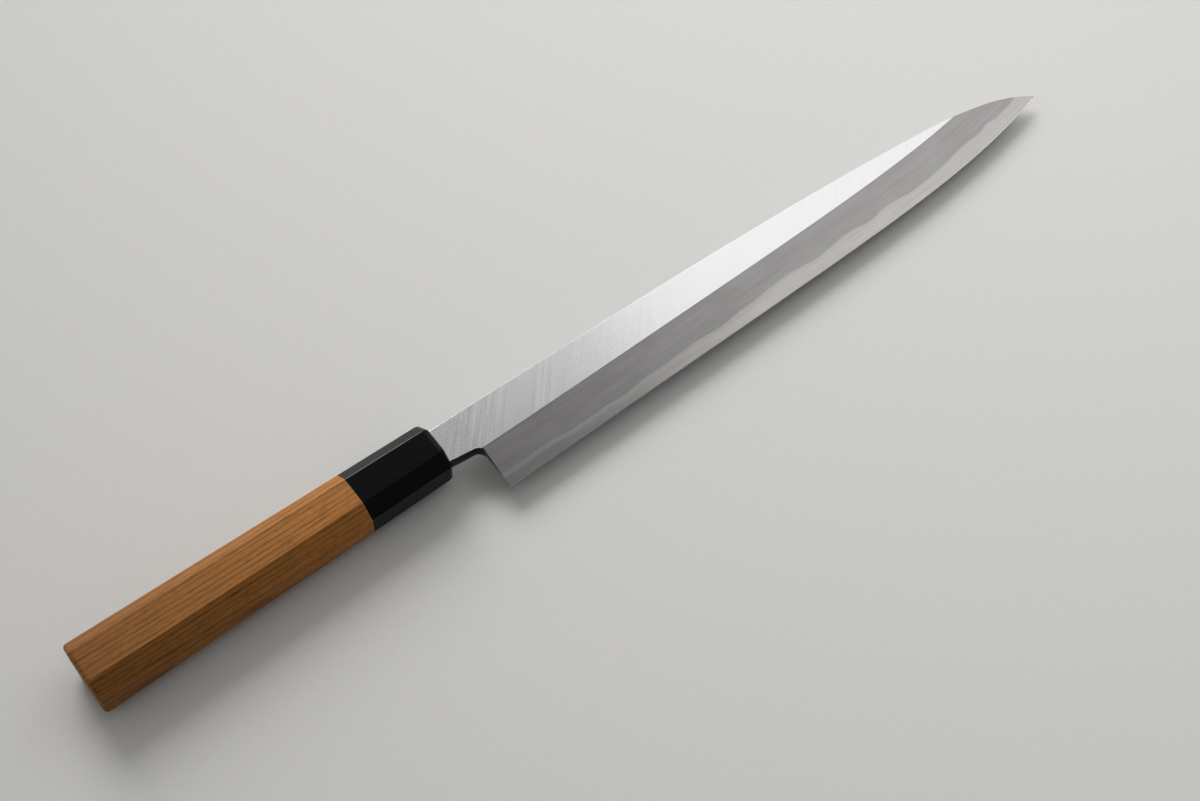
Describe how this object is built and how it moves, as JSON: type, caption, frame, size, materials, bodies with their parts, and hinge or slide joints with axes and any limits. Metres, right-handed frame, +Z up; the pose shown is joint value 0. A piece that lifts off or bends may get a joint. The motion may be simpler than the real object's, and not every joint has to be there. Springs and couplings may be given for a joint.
{
  "type": "yanagiba knife",
  "caption": "Long slender single-bevel slicing knife, a soft-iron blade with a welded hard-steel edge, hidden tang, black ferrule and tapered octagonal wooden handle.",
  "frame": {"origin": "middle of the handle's lower flat facet, on which the knife lies", "axes": "+X from the handle towards the tip, +Y towards the spine, +Z up out of the bevelled face"},
  "size_m": [0.4321, 0.0392, 0.0218],
  "materials": {
    "soft_iron": "satin ground flat, hazy stoned bevel",
    "hard_steel": "fine stoned satin",
    "black_ferrule": "polished black",
    "handle_wood": "straight-grained, sanded and lightly oiled",
    "resin_seal": "dull resin"
  },
  "bodies": {
    "root": {"soft_iron_body": "soft_iron", "hard_steel_edge": "hard_steel", "ferrule": "black_ferrule", "handle_body": "handle_wood", "mouth_seal": "resin_seal"}
  },
  "joints": []
}
